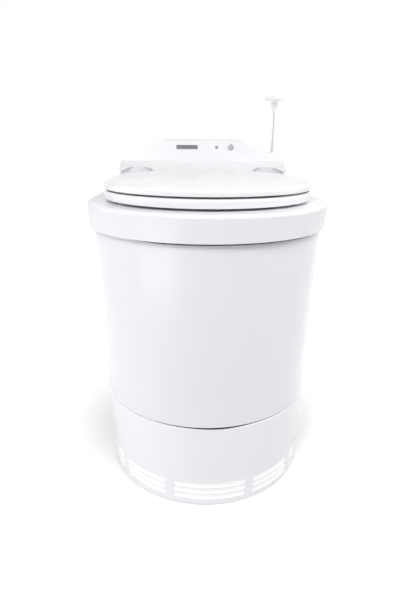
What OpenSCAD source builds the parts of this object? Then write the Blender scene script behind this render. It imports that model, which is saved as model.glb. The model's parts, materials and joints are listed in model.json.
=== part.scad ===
// Incinerating toilet: tapered round-fronted body, domed lid and seat, sloped control
// console, push-down flush rod that drives two trap flaps, burning chamber, ash pan
// behind a pull-off front cover, in-line exhaust fan and rear spigot.
// Plan lines are "D" shaped: a half circle in front, straight sides, a square back.
// The origin is on the floor at the middle of the plan box; -Y is the front.

/* [Body] */
// Half width of the body at the floor
body_foot_r = 187.5; // [180:0.5:195]
// Half width of the body under the collar
body_top_r = 201.5; // [198:0.5:204]
// How far the body's side swells over a straight line
body_swell = 1.5; // [0:0.5:3]
// Thickness of the body's wall
body_wall = 4; // [3:0.5:5]
// Rear face of the body at its top, behind the centre of the front arc
body_back = 344; // [340:1:346]
// Radius of the body's rear corners
body_corner = 60; // [45:1:70]
// Clear height under the body's lower edge
floor_gap = 3; // [2:0.5:4]

/* [Collar] */
// How far the collar stands out beyond the body's top
collar_over = 9; // [7.5:0.5:12]
// Height of the collar's flat top
collar_top_z = 517; // [515:0.5:520]
// Depth of the collar's side
collar_h = 41; // [36:1:46]
// How much the collar narrows downwards on each side
collar_taper = 2.5; // [0:0.5:4]
// Thickness of the collar's wall
collar_wall = 3.5; // [3:0.5:4]
// Rounding of the collar's upper edge
collar_round = 6; // [4:0.5:8]

/* [Seat and lid] */
// Half width of the seat and the lid
seat_r = 181; // [176:0.5:184]
// Thickness of the seat ring
seat_t = 14; // [12:0.5:16]
// Gap under the seat, filled by its bumpers
seat_gap = 4; // [3:0.5:5]
// Gap under the lid, filled by its bumpers
lid_gap = 3; // [2.5:0.5:4]
// Half width of the seat's hole
seat_hole_r = 105; // [98:1:110]
// Distance between the centres of the hole's two round ends
seat_hole_run = 24; // [10:2:26]
// Height of the lid's rim
lid_rim = 11; // [9:0.5:13]
// How far the lid's crown rises above its rim
lid_rise = 9; // [6:0.5:12]
// Thickness of the lid's moulding
lid_wall = 3; // [2.5:0.5:4]
// Rear edge of the seat and the lid
seat_back = 196; // [192:1:198]
// Distance of the hinge axis behind the seat's rear edge
hinge_back = 10; // [9.5:0.5:12]
// Radius of the hinge pins
hinge_pin_r = 4; // [3.5:0.5:5]
// Distance of each hinge's middle in from the seat's side
hinge_in = 42; // [40:1:51]

/* [Console] */
// How far the console's sides stand in from the body's top
console_in = 11.5; // [8:0.5:17]
// Height of the console's flat top
console_top_z = 621; // [612:1:626]
// Half width of the console's flat top
console_top_half_w = 87; // [80:1:92]
// Height of the console's side shoulders
shoulder_z = 590; // [584:1:594]
// Thickness of the console's moulding
console_wall = 3; // [2.5:0.5:4]
// Angle of the control panel, measured from upright
panel_lean = 24; // [18:1:30]
// Height of the crease between the control panel and the apron
panel_foot_z = 573; // [568:1:576]
// Rear face of the console, behind the centre of the front arc
console_back = 346; // [343:1:348]
// Front edge of the console's apron
apron_front = 231; // [230:1:233]
// Depth of the apron from its front edge to the crease
apron_run = 57; // [52:1:62]
// Height of the apron's front edge
apron_z = 549; // [545:1:552]
// Height of the crown of the arched pockets over the hinges
pocket_top_z = 561; // [556:1:563]
// Half width of a pocket at the height of the apron's front edge
pocket_half_w = 41; // [34:1:43]
// Depth of a pocket
pocket_depth = 27; // [20:1:28]

/* [Controls] */
// Share of the panel's slope that lies below the display, the lamp and the button
panel_share = 0.62; // [0.58:0.01:0.64]
// Width of the display window
display_w = 50; // [46:1:54]
// Height of the display window
display_h = 10; // [9:0.5:14]
// Distance of the display's middle from the console's middle, to the left
display_x = 36; // [32:1:40]
// Distance of the signal lamp from the console's middle
lamp_x = 34; // [30:1:36]
// Radius of the signal lamp
lamp_r = 4; // [3:0.5:5]
// Distance of the start button from the console's middle
button_x = 68; // [62:1:70]
// Radius of the start button
button_r = 6.5; // [6:0.5:8]
// How far the start button is pressed in
button_travel = 2.5; // [2:0.5:3]

/* [Flush rod] */
// Radius of the flush rod
rod_r = 3; // [2.5:0.5:4]
// Distance of the flush rod in from the console's side
rod_in = 23; // [22:0.5:26]
// Place of the flush rod behind the centre of the front arc
rod_y = 308; // [305:1:310]
// How far the flush rod is pushed down
rod_travel = 78; // [70:1:80]
// Radius of the knob
knob_r = 23; // [18:0.5:25]
// Height of the knob's crown above the floor
knob_top_z = 714; // [708:1:720]

/* [Trap] */
// Radius of the bowl's upper rim
bowl_top_r = 124; // [122:1:126]
// Radius of the bowl's throat
throat_r = 74; // [68:1:76]
// Height of the trap flaps' shafts
flap_z = 334; // [332:1:338]
// Distance of each flap shaft from the middle
flap_x = 86; // [84:1:90]
// Radius of the flap shafts
shaft_r = 5; // [4:0.5:6]
// Thickness of a flap's plate
flap_t = 3; // [2:0.5:4]
// Module of the teeth on the rack and the gear sectors
tooth_m = 3; // [2.5:0.5:3.5]
// Teeth that a whole gear of the sectors' size would have
tooth_count = 38; // [36:1:40]

/* [Burning chamber] */
// Inner radius of the chamber
chamber_r = 128; // [127:1:132]
// Thickness of the chamber's wall
chamber_wall = 3; // [2:0.5:4]
// Thickness of the insulation round the chamber
insulation_t = 20; // [15:1:24]
// Height of the chamber's floor
chamber_floor_z = 158; // [156:1:160]
// Height of the chamber's walls
chamber_h = 142; // [138:1:145]
// Radius of the heating element's tube
element_r = 5; // [4:0.5:6]

/* [Ash pan and front cover] */
// Half angle that the front cover takes of the round front
cover_angle = 84; // [83:0.5:86]
// Height of the front cover's upper edge
cover_top_z = 163; // [162:0.5:170]
// Gap over the front cover's upper edge
cover_gap = 2.6; // [1.6:0.2:3]
// Gap beside the front cover's upright edges
cover_side_gap = 1; // [0.6:0.2:1.6]
// Half width of the ash pan
pan_half_w = 98; // [90:1:100]
// Length of the ash pan
pan_l = 230; // [200:5:235]
// Height of the ash pan's walls
pan_h = 84; // [70:1:88]
// Height of the ash pan's floor above the ground
pan_z = 62; // [60:1:64]
// Thickness of the ash pan's sheet
pan_wall = 2; // [1.5:0.5:3]

/* [Grille] */
// Thickness of the slotted face, in front of the screen
slot_face = 1.6; // [1.4:0.2:2.2]
// Height of one air slot
slot_h = 9.5; // [8:0.5:10]
// Width of the bars between the rows of slots
slot_bar = 3; // [2:0.5:4]
// Height of the lowest slot's lower edge
slot_z = 14; // [12:0.5:16]
// Angle that the middle group of slots takes
slot_mid = 40; // [36:1:42]
// Angle that each side group of slots takes
slot_side = 29; // [26:0.5:30]
// Angle of the pillars between the groups
slot_pillar = 4.4; // [4:0.2:5]
// Angle that the two outermost groups of slots take
slot_end = 22; // [18:1:23]

/* [Exhaust] */
// Outer radius of the exhaust spigot
spigot_r = 55; // [50:1:60]
// Length of the exhaust spigot behind the body
spigot_l = 40; // [30:1:50]
// Height of the exhaust's axis
exhaust_z = 200; // [196:1:202]
// Thickness of the exhaust's sheet
duct_wall = 2; // [1.5:0.5:3]
// Radius of the fan's impeller
impeller_r = 50; // [44:0.5:51]
// Blades on the impeller
blade_count = 7; // [5:1:9]

/* [Hidden] */
$fn = 96;

// Clearances: between curved faces that seat, round a running shaft, round a moving part
seat_clear = 0.3;
run_clear = 0.05;
move_clear = 1;
// A small amount by which cutters run past the faces they cut
cut = 1;

// Widths that follow the body's top and the seat
collar_r = body_top_r + collar_over;
console_half_w = body_top_r - console_in;
rod_x = console_half_w - rod_in;
hinge_x = seat_r - hinge_in;

// Heights of the seat, the lid and the hinge
collar_under_z = collar_top_z - collar_wall;
body_top_z = collar_under_z;
collar_foot_z = collar_top_z - collar_h;
seat_z = collar_top_z + seat_gap;
seat_top_z = seat_z + seat_t;
lid_z = seat_top_z + lid_gap;
lid_rim_z = lid_z + lid_rim;
hinge_y = seat_back + hinge_back;
hinge_z = seat_top_z + lid_gap / 2;

// Place of the front arc's centre: the plan box runs from the collar to the spigot
body_rear_at_exhaust = body_back - (body_top_r - shell_r(exhaust_z));
plan_back = body_rear_at_exhaust + spigot_l;
axis_y = (collar_r - plan_back) / 2;

// Half width of the body at a height
function shell_r(z) = let(t = z / body_top_z)
  body_foot_r + (body_top_r - body_foot_r) * t + 4 * body_swell * t * (1 - t);

// Collar plan; the edge moulding runs in over the deck's plate
deck_lap = 30;
deck_in = 28;
deck_r = collar_r - deck_in;
console_edge = 12;
console_corner = 57;
shoulder_round = 22;
shoulder_run = 38;
crown_round = 26;
apron_round = 4;
pocket_x = hinge_x + 7;
collar_back = body_back + (collar_r - body_top_r);
collar_corner = body_corner + (collar_r - body_top_r);

// The console's side outline, from the apron to the rear
panel_foot_y = apron_front + apron_run;
panel_top_y = panel_foot_y + (console_top_z - panel_foot_z) * tan(panel_lean);

// Trap: pitch radius of the sectors, swing of the flaps, place of the rack
pitch_r = tooth_m * tooth_count / 2;
flap_swing = rod_travel / pitch_r * 180 / PI;
rack_half_w = flap_x - pitch_r;
gear_y = 240;
gear_t = 8;
gear_clear = 0.7;
yoke_z = 440;
flap_half = throat_r + 4;

// Burning chamber
chamber_plate = 3;
chamber_top_z = chamber_floor_z + chamber_plate + chamber_h;
hood_hole_x = flap_x + 5;
hood_hole_y = flap_half + 6;

// Moves children to the front arc's centre
module at_axis() {
  translate([0, axis_y, 0]) children();
}

// Plan outline: half circle in front, straight sides, rounded rear corners
module d_outline(r, back, corner) {
  circle(r);
  translate([-r, 0]) square([2 * r, back - corner]);
  translate([-(r - corner), 0]) square([2 * (r - corner), back]);
  for (side = [-1, 1])
    translate([side * (r - corner), back - corner]) circle(corner);
}

// Carries a profile round the plan outline; its x runs outwards, its y is the height
module sweep_d(r, back, corner) {
  rotate([0, 0, 180]) rotate_extrude(angle = 180) translate([r, 0]) children();
  for (side = [0, 1]) mirror([side, 0, 0]) {
    translate([r, 0, 0]) rotate([90, 0, 180]) mirror([1, 0, 0])
      linear_extrude(back - corner) children();
    translate([r - corner, back - corner, 0])
      rotate_extrude(angle = 90) translate([corner, 0]) children();
  }
  translate([-(r - corner), back, 0]) rotate([90, 0, 90])
    linear_extrude(2 * (r - corner)) children();
}

// A plate with the plan outline
module d_plate(r, back, corner, z, h) {
  translate([0, 0, z]) linear_extrude(h) d_outline(r, back, corner);
}

function reverse(v) = [for (i = [len(v) - 1:-1:0]) v[i]];

// Points of an arc from one angle to another
function arc(c, r, from, to, n = 8) =
  [for (i = [0:n]) let(a = from + (to - from) * i / n) c + r * [cos(a), sin(a)]];

// Rounds one corner of an outline, where the line from p to q meets the line from q to s
function fillet(p, q, s, r, n = 8) =
  let(
    u = (p - q) / norm(p - q), v = (s - q) / norm(s - q),
    half = acos(u * v) / 2,
    c = q + (u + v) / norm(u + v) * r / sin(half),
    a = q + u * r / tan(half), b = q + v * r / tan(half),
    a0 = atan2(a[1] - c[1], a[0] - c[0]), a1 = atan2(b[1] - c[1], b[0] - c[0]),
    turn = a1 - a0 > 180 ? a1 - a0 - 360 : (a1 - a0 < -180 ? a1 - a0 + 360 : a1 - a0)
  ) arc(c, r, a0, a0 + turn, n);

// Rounds the corners of a closed outline: each entry is [x, y, radius]
function rounded(pts) = [
  for (i = [0:len(pts) - 1])
    let(
      k = len(pts), q = pts[i], p = pts[(i + k - 1) % k], s = pts[(i + 1) % k]
    )
    each (q[2] > 0
      ? fillet([p[0], p[1]], [q[0], q[1]], [s[0], s[1]], q[2])
      : [[q[0], q[1]]])
];

// Outer line of the body's wall between two heights, from an offset
function wall_line(z0, z1, inset = 0, n = 6) = [
  for (i = [0:n]) let(z = z0 + (z1 - z0) * i / n) [shell_r(z) - body_top_r - inset, z]
];

slot_rows = 3;
slot_reach = 40;
// Three rows of long slots with round ends, cut through the round front
module slot_group(mid, half) {
  w = body_foot_r * sin(half) - slot_h / 2;
  for (row = [0:slot_rows - 1]) rotate([0, 0, mid])
    translate([0, -body_foot_r + slot_reach, slot_z + slot_h / 2 + row * (slot_h + slot_bar)])
      rotate([90, 0, 0]) linear_extrude(2 * slot_reach) {
        translate([-w, -slot_h / 2]) square([2 * w, slot_h]);
        for (side = [-1, 1]) translate([side * w, 0]) circle(slot_h / 2, $fn = 32);
      }
}

// The wedge of the round front that the cover takes
module front_wedge(angle, z0, z1) {
  reach = 3 * collar_r;
  translate([0, 0, z0]) linear_extrude(z1 - z0) polygon([
    [0, 0],
    [-reach * sin(angle), -reach * cos(angle)],
    [-reach, -reach],
    [reach, -reach],
    [reach * sin(angle), -reach * cos(angle)]
  ]);
}

// Tapered outer body, open below and above, with the front opening and the rear holes
module outer_shell() {
  color("white") at_axis() difference() {
    sweep_d(body_top_r, body_back, body_corner) polygon(concat(
      wall_line(floor_gap, body_top_z),
      reverse(wall_line(floor_gap, body_top_z, body_wall))
    ));
    front_wedge(cover_angle, 0, cover_top_z + cover_gap);
    translate([0, body_back - rear_reach, exhaust_z]) rotate([-90, 0, 0])
      cylinder(r = casing_r + seat_clear, h = 2 * rear_reach);
    translate([inlet_x, body_back - rear_reach, inlet_z]) rotate([-90, 0, 0])
      cylinder(r = inlet_r + seat_clear, h = 2 * rear_reach);
    for (row = [0:vent_rows - 1])
      translate([-vent_w / 2, body_back - rear_reach, vent_z + row * vent_step])
        cube([vent_w, 2 * rear_reach, vent_h]);
  }
}
rear_reach = 50;
inlet_x = 112;
inlet_z = 62;
inlet_r = 14;
vent_w = 100;
vent_h = 6;
vent_z = 392;
vent_step = 13;
vent_rows = 5;
base_z = 6;
base_t = 6;
base_r = shell_r(floor_gap) - body_wall - seat_clear;
base_back = body_back - (body_top_r - base_r);
base_corner = body_corner - (body_top_r - base_r);

// Floor plate that carries everything inside
module base_plate() {
  color("silver") at_axis() d_plate(base_r, base_back, base_corner, base_z, base_t);
}

foot_r = 18;
foot_x = 120;
foot_in = 60;
foot_edge = 2;
foot_edge_h = 3;
// Four rubber feet with tapered lower edges
module rubber_feet() {
  color("dimgray") at_axis() for (x = [-1, 1], y = [-foot_in, base_back - foot_in])
    translate([x * foot_x, y, 0]) {
      cylinder(r1 = foot_r - foot_edge, r2 = foot_r, h = foot_edge_h);
      translate([0, 0, foot_edge_h]) cylinder(r = foot_r, h = base_z - foot_edge_h);
    }
}

cover_edge = 3;
// Pull-off front cover with the air slots; its upper edge is rounded
module front_cover() {
  gap_angle = asin(cover_side_gap / body_foot_r);
  angle = cover_angle - gap_angle;
  color("white") at_axis() difference() {
    rotate([0, 0, -90 - angle]) rotate_extrude(angle = 2 * angle)
      translate([body_top_r, 0]) polygon(concat(
        wall_line(floor_gap, cover_top_z - cover_edge),
        arc([shell_r(cover_top_z) - body_top_r - cover_edge, cover_top_z - cover_edge],
            cover_edge, 10, 90, 5),
        reverse(wall_line(floor_gap, cover_top_z, body_wall))
      ));
    rotate([0, 0, -90 - screen_angle - 1]) rotate_extrude(angle = 2 * screen_angle + 2)
      translate([body_top_r, 0]) polygon(concat(
        wall_line(screen_low - 1, screen_high + 1, slot_face, 2),
        reverse(wall_line(screen_low - 1, screen_high + 1, body_wall + 2, 2))
      ));
    slot_group(0, slot_mid / 2);
    for (side = [-1, 1]) {
      slot_group(side * (slot_mid / 2 + slot_pillar + slot_side / 2), slot_side / 2);
      slot_group(side * (slot_mid / 2 + 2 * slot_pillar + slot_side + slot_end / 2), slot_end / 2);
    }
  }
}
screen_angle = cover_angle - 1.5;
screen_low = base_z + base_t - 2;
screen_high = slot_z + slot_rows * (slot_h + slot_bar) + 2;
screen_t = 1.6;

// Thin white screen behind the air slots
module grille_screen() {
  color("white") at_axis()
    rotate([0, 0, -90 - screen_angle]) rotate_extrude(angle = 2 * screen_angle)
      translate([body_top_r, 0]) polygon(concat(
        wall_line(screen_low, screen_high, slot_face + seat_clear, 2),
        reverse(wall_line(screen_low, screen_high, slot_face + seat_clear + screen_t, 2))
      ));
}

// Collar and deck in one moulding: rounded edge, hanging side, bowl hole, rod hole
module top_cover() {
  color("white") at_axis() difference() {
    union() {
      sweep_d(collar_r, collar_back, collar_corner) polygon(concat(
        [[-collar_taper, collar_foot_z]],
        arc([-collar_round, collar_top_z - collar_round], collar_round, 0, 90, 6),
        [[-deck_lap, collar_top_z], [-deck_lap, collar_under_z],
         [-collar_wall, collar_under_z], [-collar_taper - collar_wall, collar_foot_z]]
      ));
      d_plate(deck_r, collar_back - deck_in, collar_corner - deck_in, collar_under_z, collar_wall);
    }
    translate([0, 0, collar_under_z - cut]) cylinder(r = bowl_top_r + 1, h = collar_wall + 2 * cut);
    translate([rod_x, rod_y, collar_under_z - cut])
      cylinder(r = rod_r + move_clear, h = collar_wall + 2 * cut);
  }
}

// Front outline of the console, with S-shaped shoulders and rounded ends
module console_front(inset = 0) {
  w = console_half_w - inset;
  foot = collar_top_z - (inset > 0 ? cut : 0);
  pts = [
    [w, foot, 0], [w, shoulder_z - inset, shoulder_round - inset],
    [console_half_w - shoulder_run, shoulder_z - inset, crown_round + inset],
    [console_top_half_w - inset / 2, console_top_z - inset, crown_round - inset]
  ];
  polygon(rounded(concat(pts, [for (p = reverse(pts)) [-p[0], p[1], p[2]]])));
}

// Side outline of the console, drawn with x to the rear
module console_side(inset = 0) {
  back = inset * (1 / cos(panel_lean) - tan(panel_lean));
  foot = collar_top_z - (inset > 0 ? cut : 0);
  polygon(rounded([
    [apron_front + inset, foot, 0],
    [apron_front + inset, apron_z - inset, apron_round],
    [panel_foot_y + back, panel_foot_z - inset, 0],
    [panel_top_y + back, console_top_z - inset, console_edge - inset],
    [console_back - inset, console_top_z - inset, console_edge - inset],
    [console_back - inset, foot, 0]
  ]));
}

// Solid that both outlines bound
module console_block(inset = 0) {
  intersection() {
    translate([0, console_back + cut, 0]) rotate([90, 0, 0])
      linear_extrude(console_back) console_front(inset);
    translate([-console_half_w - cut, 0, 0]) rotate([90, 0, 90])
      linear_extrude(2 * console_half_w + 2 * cut) console_side(inset);
    translate([0, 0, collar_top_z - 2 * cut]) linear_extrude(console_top_z) d_outline(
      console_half_w + 2 * cut - inset, console_back - inset, console_corner - inset);
  }
}

// Places children on the control panel: x across, y up the slope, z out of the panel
module on_panel(x, up = 0) {
  translate([x, panel_foot_y, panel_foot_z]) rotate([90 - panel_lean, 0, 0])
    translate([0, panel_mid + up, 0]) children();
}
panel_slope = (console_top_z - panel_foot_z) / cos(panel_lean);
panel_mid = panel_share * panel_slope;

// Arched pocket in the console's front over each hinge
module hinge_pocket(side, grow = 0) {
  rise = pocket_top_z - apron_z;
  r = (pow(pocket_half_w, 2) + pow(rise, 2)) / (2 * rise);
  translate([side * pocket_x, apron_front - cut, pocket_top_z - r]) rotate([-90, 0, 0])
    cylinder(r = r + grow, h = pocket_depth + cut + grow);
}

// Control console: hollow housing with openings for the display, the lamp and the button
module console() {
  color("white") at_axis() difference() {
    console_block();
    difference() {
      console_block(console_wall);
      for (side = [-1, 1]) hinge_pocket(side, console_wall);
    }
    for (side = [-1, 1]) hinge_pocket(side);
    on_panel(-display_x, 0) translate([-display_w / 2, -display_h / 2, -10])
      cube([display_w, display_h, 20]);
    on_panel(lamp_x, 0) translate([0, 0, -10]) cylinder(r = lamp_r, h = 20);
    on_panel(button_x, 0) translate([0, 0, -10]) cylinder(r = button_r + run_clear, h = 20);
    translate([rod_x, rod_y, collar_top_z]) cylinder(r = bush_r, h = 200);
  }
}
bush_r = 7;
bezel_w = 1.5;
bezel_t = 0.8;
window_proud = 0.4;
lens_h = 3;
lens_foot = 2;

// Frame round the display window, let into the panel
module panel_bezel() {
  color("lightgray") at_axis() on_panel(-display_x, 0) difference() {
    translate([-display_w / 2 - bezel_w, -display_h / 2 - bezel_w, 0])
      cube([display_w + 2 * bezel_w, display_h + 2 * bezel_w, bezel_t]);
    translate([-display_w / 2, -display_h / 2, -cut])
      cube([display_w, display_h, bezel_t + 2 * cut]);
  }
}

module display_window() {
  color("slategray") at_axis() on_panel(-display_x, 0)
    translate([-display_w / 2, -display_h / 2, -console_wall])
      cube([display_w, display_h, console_wall + window_proud]);
}

// Round lens with a domed head
module lamp_lens() {
  color("gray") at_axis() on_panel(lamp_x, 0) {
    translate([0, 0, -console_wall - lens_foot]) cylinder(r = lamp_r, h = console_wall + lens_foot);
    intersection() {
      cylinder(r = lamp_r, h = lens_h);
      translate([0, 0, 1 - 2 * lamp_r]) sphere(r = 2 * lamp_r);
    }
  }
}

button_head = 3;
button_dish_r = 18;
button_rim = 1.5;
button_rim_gap = 0.3;
button_stem_r = 2;
button_spring_r = 5;
board_gap = 9;
// Start button: round cap with a shallow dish, on a stem with a collar behind the panel
module start_button() {
  color("gray") at_axis() on_panel(button_x, 0) {
    difference() {
      translate([0, 0, -console_wall - 1]) cylinder(r = button_r, h = console_wall + 1 + button_head);
      translate([0, 0, button_head + button_dish_r - 1]) sphere(r = button_dish_r);
    }
    translate([0, 0, -console_wall - button_rim - button_rim_gap])
      cylinder(r = button_r + button_rim, h = button_rim);
    translate([0, 0, -board_gap + button_travel + 0.5])
      cylinder(r = button_stem_r, h = board_gap - console_wall - button_travel - 1);
  }
}

// Return spring of the start button, between the board and the button's collar
module button_spring() {
  color("silver") at_axis() on_panel(button_x, 0) translate([0, 0, -board_gap])
    difference() {
      cylinder(r = button_spring_r, h = board_gap - console_wall - button_rim - button_rim_gap);
      translate([0, 0, -cut]) cylinder(r = button_spring_r - 1, h = board_gap);
    }
}

board_t = 1.6;
board_post_r = 3;
board_post_in = 5;
board_h = 28;
board_end = 91;
// Circuit board behind the panel with the switch body and two posts to the panel
module control_board() {
  color("green") at_axis() {
    on_panel(0, 0) translate([-board_end, -board_h / 2, -board_gap - board_t])
      cube([2 * board_end, board_h, board_t]);
    for (x = [-1, 1]) on_panel(x * (board_end - board_post_in), 0) translate([0, 0, -board_gap])
      cylinder(r = board_post_r, h = board_gap - console_wall);
    on_panel(-display_x, 0) translate([-display_w / 2, -display_h / 2, -board_gap])
      cube([display_w, display_h, board_gap - console_wall]);
    on_panel(lamp_x, 0) translate([0, 0, -board_gap])
      cylinder(r = lamp_r - 1.5, h = board_gap - console_wall - lens_foot);
  }
}

// Stadium shape for the seat's hole: two half circles and straight sides
module hole_outline(r) {
  for (y = [-1, 1]) translate([0, y * seat_hole_run / 2 + seat_hole_y]) circle(r);
  translate([-r, seat_hole_y - seat_hole_run / 2]) square([2 * r, seat_hole_run]);
}
seat_hole_y = 0;
seat_corner = 45;
edge_round = 5;
foot_round = 2;
seat_lap = 20;
seat_in = 18;
bevel_step = 1.3;

// A rounded plate with the seat's plan: edges rounded above, slightly below
module seat_blank(z, t) {
  sweep_d(seat_r, seat_back, seat_corner) polygon(concat(
    [[-seat_lap, z]],
    arc([-foot_round, z + foot_round], foot_round, -90, 0, 5),
    arc([-edge_round, z + t - edge_round], edge_round, 0, 90, 6),
    [[-seat_lap, z + t]]
  ));
  d_plate(seat_r - seat_in, seat_back - seat_in, seat_corner - seat_in, z, t);
}

// Seat ring with its hinge ears
module seat_ring() {
  color("white") at_axis() difference() {
    union() {
      seat_blank(seat_z, seat_t);
      hinge_ears(seat_top_z - tongue_t, -hinge_part_w);
    }
    translate([0, 0, seat_z - cut]) linear_extrude(seat_t + 2 * cut) hole_outline(seat_hole_r);
    for (k = [1:3]) translate([0, 0, seat_top_z - (4 - k) * bevel_step])
      linear_extrude(seat_t) hole_outline(seat_hole_r + k * bevel_step);
    hinge_bore();
  }
}

hinge_part_w = 13;
hinge_slack = 0.4;
hinge_barrel_r = 7;
tongue_t = 5;
tongue_in = 6;

// Barrels round the hinge axis, joined to the rear edge by tongues
module hinge_ears(z, shift) {
  w = hinge_part_w - 2 * hinge_slack;
  for (side = [0, 1]) mirror([side, 0, 0]) translate([hinge_x + shift - w / 2, 0, 0]) {
    translate([0, hinge_y, hinge_z]) rotate([0, 90, 0]) cylinder(r = hinge_barrel_r, h = w);
    translate([0, seat_back - tongue_in, z]) cube([w, hinge_back + tongue_in, tongue_t]);
  }
}

module hinge_bore() {
  translate([-seat_r, hinge_y, hinge_z]) rotate([0, 90, 0])
    cylinder(r = hinge_pin_r + run_clear, h = 2 * seat_r);
}

// Two posts on the deck; each holds a pin between the seat's and the lid's barrels
module hinge_posts() {
  w = hinge_part_w - 2 * hinge_slack;
  post_r = hinge_barrel_r - 1;
  color("white") at_axis() for (side = [0, 1]) mirror([side, 0, 0]) difference() {
    translate([hinge_x - w / 2, 0, 0]) {
      translate([0, hinge_y, hinge_z]) rotate([0, 90, 0]) cylinder(r = post_r, h = w);
      translate([0, hinge_y - post_r, collar_top_z])
        cube([w, 2 * post_r, hinge_z - collar_top_z]);
    }
    translate([0, hinge_y, hinge_z]) rotate([0, 90, 0])
      cylinder(r = hinge_pin_r, h = seat_r);
  }
}

// Steel pins of the two hinges
module hinge_pins() {
  reach = 1.5 * hinge_part_w - hinge_slack;
  color("silver") at_axis() for (side = [-1, 1])
    translate([side * hinge_x - reach, hinge_y, hinge_z]) rotate([0, 90, 0])
      cylinder(r = hinge_pin_r, h = 2 * reach);
}

// Height of the lid's top at a distance from its middle line
dome_r = (pow(seat_r, 2) + pow(lid_rise, 2)) / (2 * lid_rise);
function dome(x, drop = 0) =
  lid_rim_z + lid_rise - dome_r + sqrt(pow(dome_r - drop, 2) - x * x);

lid_edge = 8;
// Half section of the space that the lid bounds, or of the hollow under it
module lid_section(inset) {
  n = 8;
  w = seat_r - inset;
  edge = lid_edge - inset;
  polygon(concat(
    [for (i = [0:n]) let(x = (w - edge) * i / n) [x, dome(x, inset)]],
    arc([w - edge, dome(w - edge, inset) - edge], edge, 80, 0, 5),
    [[w, lid_z - (inset > 0 ? cut : 0)], [0, lid_z - (inset > 0 ? cut : 0)]]
  ));
}

// The section turned round the front arc, carried to the rear and cut to the seat's plan
module lid_block(inset) {
  intersection() {
    union() {
      rotate([0, 0, 180]) rotate_extrude(angle = 180) lid_section(inset);
      for (side = [0, 1]) mirror([side, 0, 0])
        rotate([90, 0, 180]) mirror([1, 0, 0]) linear_extrude(seat_back) lid_section(inset);
    }
    translate([0, 0, lid_z - 2 * cut]) linear_extrude(60)
      d_outline(seat_r + 1, seat_back - inset, seat_corner - inset);
  }
}

// Domed lid, hollow below
module lid() {
  color("white") at_axis() difference() {
    union() {
      difference() {
        lid_block(0);
        lid_block(lid_wall);
      }
      hinge_ears(lid_z, hinge_part_w);
    }
    hinge_bore();
  }
}

bumper_r = 6;
bumper_in = 14;
lid_bumper_in = 20;
bumper_set = 0.2;
// Soft pads under the seat that hold it off the deck
module seat_bumpers() {
  color("white") at_axis() for (a = [-56, 56, -122, 122])
    rotate([0, 0, a]) translate([0, -seat_r + bumper_in, collar_top_z + bumper_set])
      cylinder(r = bumper_r, h = seat_gap - bumper_set);
}

// From the pad's foot up to the lid's underside
function bumper_h(x) = dome(x + bumper_r, lid_wall) - seat_top_z - bumper_set;

// Soft pads under the lid that hold it off the seat
module lid_bumpers() {
  color("white") at_axis() for (a = [-40, 40, -118, 118])
    rotate([0, 0, a]) translate([0, -seat_r + lid_bumper_in, seat_top_z + bumper_set])
      cylinder(r = bumper_r - 1, h = bumper_h(seat_r - lid_bumper_in));
}

bowl_wall = 1.5;
bowl_foot = flap_z + shaft_r + 7;
bowl_neck = 14;
bowl_drop = 30;
bowl_flange = 8;
// Steel funnel with a rolled flange on the deck
module bowl() {
  neck = bowl_foot + bowl_neck;
  shoulder = collar_top_z - bowl_drop;
  color("silver") at_axis() rotate_extrude() polygon([
    [throat_r, bowl_foot], [throat_r + bowl_wall, bowl_foot], [throat_r + bowl_wall, neck],
    [bowl_top_r, shoulder], [bowl_top_r, collar_top_z], [bowl_top_r + bowl_flange, collar_top_z],
    [bowl_top_r + bowl_flange, collar_top_z + bowl_wall], [bowl_top_r - bowl_wall, collar_top_z + bowl_wall],
    [bowl_top_r - bowl_wall, shoulder], [throat_r, neck]
  ]);
}

flap_lip = 6;
flap_lip_t = 2;
flap_seam = 1;
flap_sleeve = 14;
flap_sleeve_wall = 2;
// Half of the trap: a plate with lips at its ends and sleeves round its shaft
module flap(side) {
  mirror([side > 0 ? 0 : 1, 0, 0]) difference() {
    union() {
      translate([flap_seam, -flap_half, flap_z - flap_t / 2])
        cube([flap_x - flap_seam, 2 * flap_half, flap_t]);
      for (y = [-flap_half, flap_half - flap_lip_t])
        translate([flap_seam, y, flap_z - flap_t / 2 - flap_lip])
          cube([flap_x - shaft_r - 6, flap_lip_t, flap_lip]);
      for (y = [-flap_half, flap_half - flap_sleeve]) translate([flap_x, y, flap_z])
        rotate([-90, 0, 0]) cylinder(r = shaft_r + flap_sleeve_wall, h = flap_sleeve);
    }
    translate([flap_x, -flap_half - cut, flap_z]) rotate([-90, 0, 0])
      cylinder(r = shaft_r, h = 2 * flap_half + 2 * cut);
  }
}
module flap_left() { color("silver") at_axis() flap(-1); }
module flap_right() { color("silver") at_axis() flap(1); }

plate_t = 4;
shaft_end = 3;
bearing_y = flap_half + 12;
// Shaft of one flap, from the front bearing to the gear sector
module flap_shaft(side) {
  start = -bearing_y - plate_t - shaft_end;
  translate([side * flap_x, start, flap_z]) rotate([-90, 0, 0])
    cylinder(r = shaft_r, h = gear_y + gear_t + shaft_end - start);
}
module shaft_left() { color("gray") at_axis() flap_shaft(-1); }
module shaft_right() { color("gray") at_axis() flap_shaft(1); }

tooth_pitch = PI * tooth_m;
tooth_tip = 0.75 * tooth_m;
tooth_root = 1.2 * tooth_m;
hub_wall = 6;
// Half of a tooth's thickness at a height over the pitch line
function tooth_half(h, slope) = tooth_pitch / 4 - gear_clear / 2 - h * tan(slope);

// One tooth along x, standing on a pitch line at a distance
module tooth(at, slope) {
  polygon([
    [at - tooth_root - 0.5, -tooth_half(-tooth_root, slope)],
    [at + tooth_tip, -tooth_half(tooth_tip, slope)],
    [at + tooth_tip, tooth_half(tooth_tip, slope)],
    [at - tooth_root - 0.5, tooth_half(-tooth_root, slope)]
  ]);
}

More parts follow.
